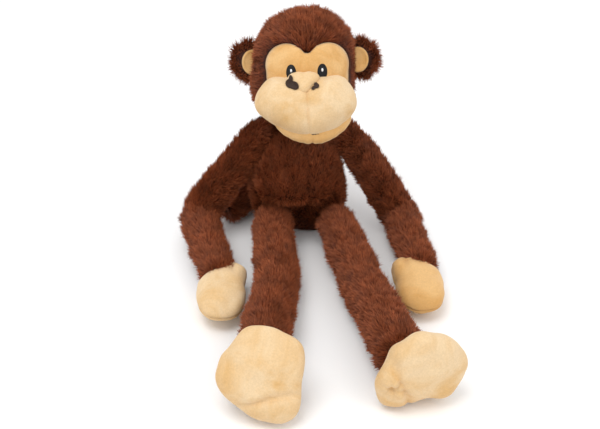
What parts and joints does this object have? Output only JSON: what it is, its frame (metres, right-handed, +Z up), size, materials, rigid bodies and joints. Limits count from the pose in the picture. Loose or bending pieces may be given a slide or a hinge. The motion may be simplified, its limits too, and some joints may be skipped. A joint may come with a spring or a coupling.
{
  "type": "plush monkey",
  "caption": "Long-limbed plush monkey sitting with legs stretched out, brown pile body, beige face, hands and feet, bending at its seams.",
  "frame": {"origin": "middle of the flattened seat under the torso, on the ground", "axes": "+Z up, the monkey faces -Y, its own left side is at +X"},
  "size_m": [0.2613, 0.3575, 0.2302],
  "materials": {
    "brown_pile": "long pile plush",
    "beige_fleece": "short velvety pile",
    "polyester_filling": "loose fibre",
    "black_thread": "satin stitch",
    "dark_brown_thread": "satin stitch",
    "white_thread": "satin stitch"
  },
  "bodies": {
    "torso": {"belly_panel_right": "brown_pile", "belly_panel_left": "brown_pile", "back_panel": "brown_pile", "torso_stuffing": "polyester_filling"},
    "neck": {"neck_core": "brown_pile"},
    "head": {"crown_front": "brown_pile", "crown_back": "brown_pile", "head_stuffing": "polyester_filling", "face_mask": "beige_fleece", "muzzle_right": "beige_fleece", "muzzle_left": "beige_fleece", "chin_panel": "beige_fleece", "muzzle_stuffing": "polyester_filling", "nose_panel": "beige_fleece", "nostril_right": "dark_brown_thread", "nostril_left": "dark_brown_thread", "eye_right": "black_thread", "eye_left": "black_thread", "eye_glint_right": "white_thread", "eye_glint_left": "white_thread", "mouth_stitch": "black_thread", "ear_back_right": "brown_pile", "ear_back_left": "brown_pile", "ear_front_right": "beige_fleece", "ear_front_left": "beige_fleece"},
    "upper_arm_right": {"upper_arm_right": "brown_pile", "upper_arm_fill_right": "polyester_filling"},
    "forearm_right": {"forearm_right": "brown_pile", "forearm_fill_right": "polyester_filling"},
    "hand_right": {"hand_back_right": "beige_fleece", "hand_palm_right": "beige_fleece", "hand_fill_right": "polyester_filling"},
    "thigh_right": {"thigh_right": "brown_pile", "thigh_fill_right": "polyester_filling"},
    "shin_right": {"shin_right": "brown_pile", "shin_fill_right": "polyester_filling"},
    "foot_right": {"foot_sole_right": "beige_fleece", "foot_upper_right": "beige_fleece", "foot_fill_right": "polyester_filling"},
    "upper_arm_left": {"upper_arm_left": "brown_pile", "upper_arm_fill_left": "polyester_filling"},
    "forearm_left": {"forearm_left": "brown_pile", "forearm_fill_left": "polyester_filling"},
    "hand_left": {"hand_back_left": "beige_fleece", "hand_palm_left": "beige_fleece", "hand_fill_left": "polyester_filling"},
    "thigh_left": {"thigh_left": "brown_pile", "thigh_fill_left": "polyester_filling"},
    "shin_left": {"shin_left": "brown_pile", "shin_fill_left": "polyester_filling"},
    "foot_left": {"foot_sole_left": "beige_fleece", "foot_upper_left": "beige_fleece", "foot_fill_left": "polyester_filling"},
    "tail_base": {"tail_base": "brown_pile", "tail_base_fill": "polyester_filling"},
    "tail_tip": {"tail_tip": "brown_pile", "tail_tip_fill": "polyester_filling"}
  },
  "joints": [
    {"name": "head_turn", "type": "hinge", "parent": "torso", "child": "neck", "pos_m": [0, 0.0151, 0.11962], "axis": [0, 0.2079, 0.9781], "range_deg": [-40, 40]},
    {"name": "head_nod", "type": "hinge", "parent": "neck", "child": "head", "pos_m": [0, 0.0151, 0.11962], "axis": [1, 0, 0], "range_deg": [-20, 10]},
    {"name": "shoulder_swing_right", "type": "hinge", "parent": "torso", "child": "upper_arm_right", "pos_m": [-0.048, 0.01376, 0.1013], "axis": [-1, 0, 0], "range_deg": [-8, 65]},
    {"name": "elbow_bend_right", "type": "hinge", "parent": "upper_arm_right", "child": "forearm_right", "pos_m": [-0.10634, -0.01596, 0.03109], "axis": [-0.6914, -0.2468, 0.679], "range_deg": [-76, 2]},
    {"name": "wrist_flex_right", "type": "hinge", "parent": "forearm_right", "child": "hand_right", "pos_m": [-0.08287, -0.10353, 0.02316], "axis": [-0.9659, -0.2588, 0], "range_deg": [-40, 45]},
    {"name": "hip_swing_right", "type": "hinge", "parent": "torso", "child": "thigh_right", "pos_m": [-0.032, -0.018, 0.026], "axis": [-1, 0, 0], "range_deg": [-80, 20]},
    {"name": "knee_bend_right", "type": "hinge", "parent": "thigh_right", "child": "shin_right", "pos_m": [-0.02544, -0.11176, 0.02436], "axis": [-1, 0, 0], "range_deg": [-85, 30]},
    {"name": "ankle_flex_right", "type": "hinge", "parent": "shin_right", "child": "foot_right", "pos_m": [-0.03589, -0.23114, 0.03064], "axis": [-1, 0, 0], "range_deg": [-45, 20]},
    {"name": "shoulder_swing_left", "type": "hinge", "parent": "torso", "child": "upper_arm_left", "pos_m": [0.048, 0.01376, 0.1013], "axis": [-1, 0, 0], "range_deg": [-35, 65]},
    {"name": "elbow_bend_left", "type": "hinge", "parent": "upper_arm_left", "child": "forearm_left", "pos_m": [0.0996, -0.00104, 0.02171], "axis": [-0.8431, -0.1185, -0.5246], "range_deg": [-75, 3]},
    {"name": "wrist_flex_left", "type": "hinge", "parent": "forearm_left", "child": "hand_left", "pos_m": [0.11227, -0.09115, 0.02171], "axis": [-0.9903, -0.1392, 0], "range_deg": [-40, 45]},
    {"name": "hip_swing_left", "type": "hinge", "parent": "torso", "child": "thigh_left", "pos_m": [0.032, -0.018, 0.026], "axis": [-1, 0, 0], "range_deg": [-80, 20]},
    {"name": "knee_bend_left", "type": "hinge", "parent": "thigh_left", "child": "shin_left", "pos_m": [0.05314, -0.10958, 0.02436], "axis": [-1, 0, 0], "range_deg": [-85, 30]},
    {"name": "ankle_flex_left", "type": "hinge", "parent": "shin_left", "child": "foot_left", "pos_m": [0.08416, -0.22533, 0.03064], "axis": [-1, 0, 0], "range_deg": [-45, 20]},
    {"name": "tail_swing", "type": "hinge", "parent": "torso", "child": "tail_base", "pos_m": [0, 0.041, 0.026], "axis": [0, 0, 1], "range_deg": [-110, 0]},
    {"name": "tail_curl", "type": "hinge", "parent": "tail_base", "child": "tail_tip", "pos_m": [-0.04588, 0.0568, 0.01918], "axis": [0, 0, 1], "range_deg": [-60, 15]}
  ]
}
